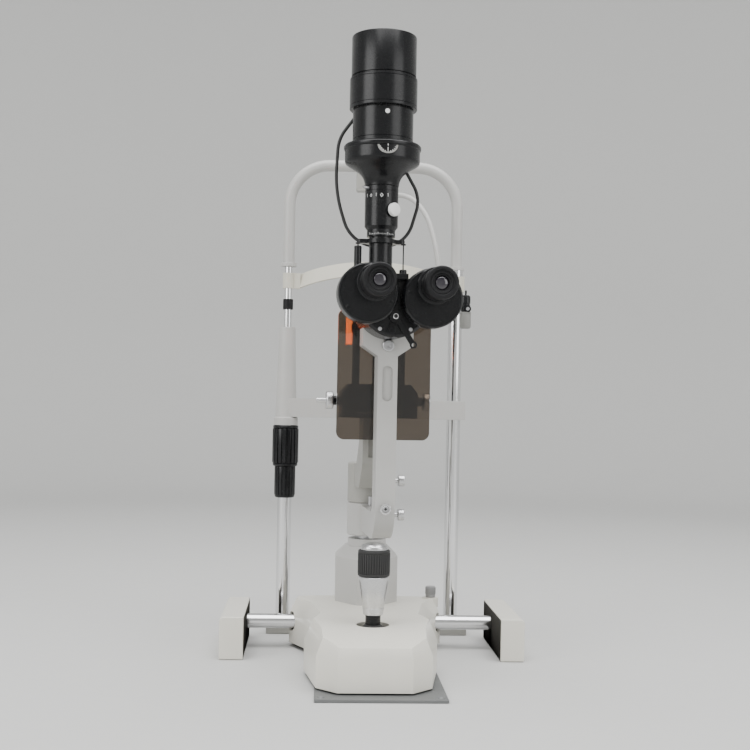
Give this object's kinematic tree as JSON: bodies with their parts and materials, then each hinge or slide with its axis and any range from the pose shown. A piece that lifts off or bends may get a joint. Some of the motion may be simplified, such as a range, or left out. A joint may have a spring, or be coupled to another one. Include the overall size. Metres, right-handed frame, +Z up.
{
  "type": "slit lamp",
  "caption": "Slit lamp biomicroscope: joystick base on rails, swinging binocular microscope and lamp tower, breath shield and patient headrest with chin rest.",
  "frame": {"origin": "table level at the centre of the four rail screws", "axes": "+X to the examiner's right, +Y towards the patient, +Z up"},
  "size_m": [0.368, 0.403, 0.747],
  "materials": {
    "cream_cover": "satin",
    "grey_paint": "satin",
    "light_grey_paint": "satin",
    "black_paint": "satin",
    "plate_grey": "matt",
    "polished_steel": "polished",
    "steel": "satin",
    "aluminium": "satin",
    "black_rubber": "matt",
    "black_plastic": "matt",
    "grey_plastic": "matt",
    "white_plastic": "gloss",
    "belt": "woven",
    "lens_glass": "clear",
    "smoked_glass": "smoked",
    "amber_glass": "amber",
    "mirror": "polished"
  },
  "bodies": {
    "table_fixtures": {"friction_plate": "plate_grey", "rail_beds": "black_paint", "gear_racks": "white_plastic", "rail_covers": "cream_cover", "headrest_beam": "grey_paint", "headrest_poles": "polished_steel", "forehead_frame": "light_grey_paint", "fixation_bracket": "grey_paint", "canthus_marker": "black_plastic", "forehead_belt": "belt"},
    "carriage": {"axle_guides": "black_plastic"},
    "axle": {"axle_shaft": "polished_steel", "axle_wheels": "black_plastic", "axle_pinions": "steel"},
    "base": {"base_cover": "cream_cover", "base_chassis": "black_paint", "linear_bearings": "aluminium", "spindle_housing": "grey_paint"},
    "base_lock": {"base_lock_knob": "grey_plastic"},
    "joystick_tilt_ring": {"joystick_gimbal": "steel"},
    "joystick_lever": {"joystick_stem": "black_paint", "joystick_cone": "aluminium"},
    "joystick_handle": {"joystick_grip": "black_rubber", "joystick_cap": "aluminium"},
    "spindle": {"spindle_shaft": "steel"},
    "microscope": {"microscope_arm": "light_grey_paint", "microscope_body": "black_paint", "objective_lens": "lens_glass", "microscope_screws": "steel", "breath_shield": "smoked_glass"},
    "microscope_lock": {"microscope_lock_knob": "aluminium"},
    "magnification": {"magnification_lever": "black_paint"},
    "left_drum": {"left_prism_drum": "black_paint"},
    "right_drum": {"right_prism_drum": "black_paint"},
    "left_focus": {"left_dioptre_ring": "black_plastic", "left_eye_lens": "lens_glass"},
    "right_focus": {"right_dioptre_ring": "black_plastic", "right_eye_lens": "lens_glass"},
    "lamp_support": {"lamp_arm": "grey_paint", "foot_block": "black_paint"},
    "lamp_arm_lock": {"lamp_arm_lock_knob": "aluminium"},
    "tower": {"tower_base": "black_paint", "tower_post": "black_paint", "tower_mirror": "mirror", "side_rods": "black_paint", "slit_head": "black_paint"},
    "slit_width": {"slit_width_knobs": "aluminium"},
    "slit_linkage": {"slit_crossbar": "black_paint"},
    "slit_length": {"slit_length_knob": "white_plastic"},
    "filters": {"filter_turret": "black_paint"},
    "lamp_head": {"lamp_bell": "black_paint", "lamp_housing": "black_paint", "lamp_bulb": "lens_glass", "lamp_cable": "black_rubber"},
    "amber_flap": {"amber_filter": "amber_glass"},
    "chinrest": {"chinrest_bracket": "light_grey_paint", "chin_cup": "white_plastic"},
    "chinrest_knob": {"height_knob": "black_plastic"},
    "fixation_support": {"fixation_arm": "light_grey_paint"},
    "fixation_target": {"fixation_lamp": "black_plastic"}
  },
  "joints": [
    {"name": "carriage_travel", "type": "slide", "parent": "table_fixtures", "child": "carriage", "axis": [0, 1, 0], "range_m": [-0.042, 0.042]},
    {"name": "axle_roll", "type": "hinge", "parent": "carriage", "child": "axle", "pos_m": [0, 0.008, 0.032], "axis": [1, 0, 0], "range_deg": [-201, 201]},
    {"name": "base_shift", "type": "slide", "parent": "carriage", "child": "base", "axis": [1, 0, 0], "range_m": [-0.044, 0.056]},
    {"name": "base_lock_turn", "type": "hinge", "parent": "base", "child": "base_lock", "pos_m": [0.078, 0.02, 0.06], "axis": [0, 0, 1], "range_deg": [0, 90]},
    {"name": "joystick_fore_aft", "type": "hinge", "parent": "base", "child": "joystick_tilt_ring", "pos_m": [-0.006, -0.185, 0.05], "axis": [1, 0, 0], "range_deg": [-12, 12]},
    {"name": "joystick_left_right", "type": "hinge", "parent": "joystick_tilt_ring", "child": "joystick_lever", "pos_m": [-0.006, -0.185, 0.05], "axis": [0, 1, 0], "range_deg": [-12, 12]},
    {"name": "joystick_turn", "type": "hinge", "parent": "joystick_lever", "child": "joystick_handle", "pos_m": [-0.006, -0.185, 0.13], "axis": [0, 0, 1], "range_deg": [-1, 1441]},
    {"name": "elevation", "type": "slide", "parent": "base", "child": "spindle", "axis": [0, 0, 1], "range_m": [0, 0.03]},
    {"name": "microscope_swing", "type": "hinge", "parent": "spindle", "child": "microscope", "pos_m": [-0.006, -0.005, 0.17], "axis": [0, 0, 1], "range_deg": [-50, 40]},
    {"name": "microscope_lock_turn", "type": "hinge", "parent": "microscope", "child": "microscope_lock", "pos_m": [0.03385, -0.00151, 0.169], "axis": [0.9962, 0.0872, 0], "range_deg": [0, 90]},
    {"name": "magnification_turn", "type": "hinge", "parent": "microscope", "child": "magnification", "pos_m": [0.01143, -0.20424, 0.405], "axis": [-0.0872, 0.9962, 0], "range_deg": [0, 66]},
    {"name": "left_drum_turn", "type": "hinge", "parent": "microscope", "child": "left_drum", "pos_m": [-0.02082, -0.2171, 0.42776], "axis": [-0.0872, 0.9962, 0], "range_deg": [-80, 10]},
    {"name": "right_drum_turn", "type": "hinge", "parent": "microscope", "child": "right_drum", "pos_m": [0.04981, -0.21092, 0.42404], "axis": [-0.0872, 0.9962, 0], "range_deg": [-55, 45]},
    {"name": "left_dioptre_turn", "type": "hinge", "parent": "left_drum", "child": "left_focus", "pos_m": [-0.01088, -0.24634, 0.43908], "axis": [-0.0872, 0.9962, 0], "range_deg": [-90, 90]},
    {"name": "right_dioptre_turn", "type": "hinge", "parent": "right_drum", "child": "right_focus", "pos_m": [0.05476, -0.2406, 0.43734], "axis": [-0.0872, 0.9962, 0], "range_deg": [-90, 90]},
    {"name": "lamp_swing", "type": "hinge", "parent": "spindle", "child": "lamp_support", "pos_m": [-0.006, -0.005, 0.21], "axis": [0, 0, 1], "range_deg": [-65, 50]},
    {"name": "lamp_arm_lock_turn", "type": "hinge", "parent": "lamp_support", "child": "lamp_arm_lock", "pos_m": [0.03385, -0.00151, 0.212], "axis": [0.9962, 0.0872, 0], "range_deg": [0, 90]},
    {"name": "tower_tilt", "type": "hinge", "parent": "lamp_support", "child": "tower", "pos_m": [0.00054, -0.07971, 0.312], "axis": [0.9962, 0.0872, 0], "range_deg": [0, 8]},
    {"name": "slit_width_turn", "type": "hinge", "parent": "tower", "child": "slit_width", "pos_m": [0.00054, -0.07971, 0.312], "axis": [0.9962, 0.0872, 0], "range_deg": [-1, 91]},
    {"name": "slit_linkage_lift", "type": "slide", "parent": "tower", "child": "slit_linkage", "axis": [0, 0, 1], "range_m": [0, 0.002]},
    {"name": "slit_length_turn", "type": "hinge", "parent": "tower", "child": "slit_length", "pos_m": [0.00054, -0.07971, 0.5385], "axis": [0.5736, -0.8192, 0], "range_deg": [-135, 135]},
    {"name": "filter_turn", "type": "hinge", "parent": "tower", "child": "filters", "pos_m": [0.00054, -0.07971, 0.565], "axis": [0, 0, 1], "range_deg": [-45, 90]},
    {"name": "lamp_turn", "type": "hinge", "parent": "tower", "child": "lamp_head", "pos_m": [0.00054, -0.07971, 0.6], "axis": [0, 0, 1], "range_deg": [-90, 90], "deforming": ["lamp_cable"]},
    {"name": "amber_flap_swing", "type": "hinge", "parent": "tower", "child": "amber_flap", "pos_m": [-0.02686, -0.08211, 0.4], "axis": [0, 0, 1], "range_deg": [0, 150]},
    {"name": "chinrest_lift", "type": "slide", "parent": "table_fixtures", "child": "chinrest", "axis": [0, 0, 1], "range_m": [-0.06, 0.02]},
    {"name": "chinrest_knob_turn", "type": "hinge", "parent": "chinrest", "child": "chinrest_knob", "pos_m": [-0.113, 0.103, 0.23], "axis": [0, 0, 1], "range_deg": [-2161, 721]},
    {"name": "fixation_swing", "type": "hinge", "parent": "table_fixtures", "child": "fixation_support", "pos_m": [0, 0.103, 0.6], "axis": [0, 0, 1], "range_deg": [-20, 18]},
    {"name": "fixation_tilt", "type": "hinge", "parent": "fixation_support", "child": "fixation_target", "pos_m": [0.104, 0.04, 0.4355], "axis": [1, 0, 0], "range_deg": [-30, 30]}
  ],
  "couplings": [
    {"joint": "axle_roll", "follows": "carriage_travel", "rad_per_m": -83.333},
    {"joint": "joystick_turn", "follows": "elevation", "rad_per_m": 837.76},
    {"joint": "slit_width_turn", "follows": "slit_linkage_lift", "rad_per_m": 785.4},
    {"joint": "chinrest_knob_turn", "follows": "chinrest_lift", "rad_per_m": 628.32}
  ]
}
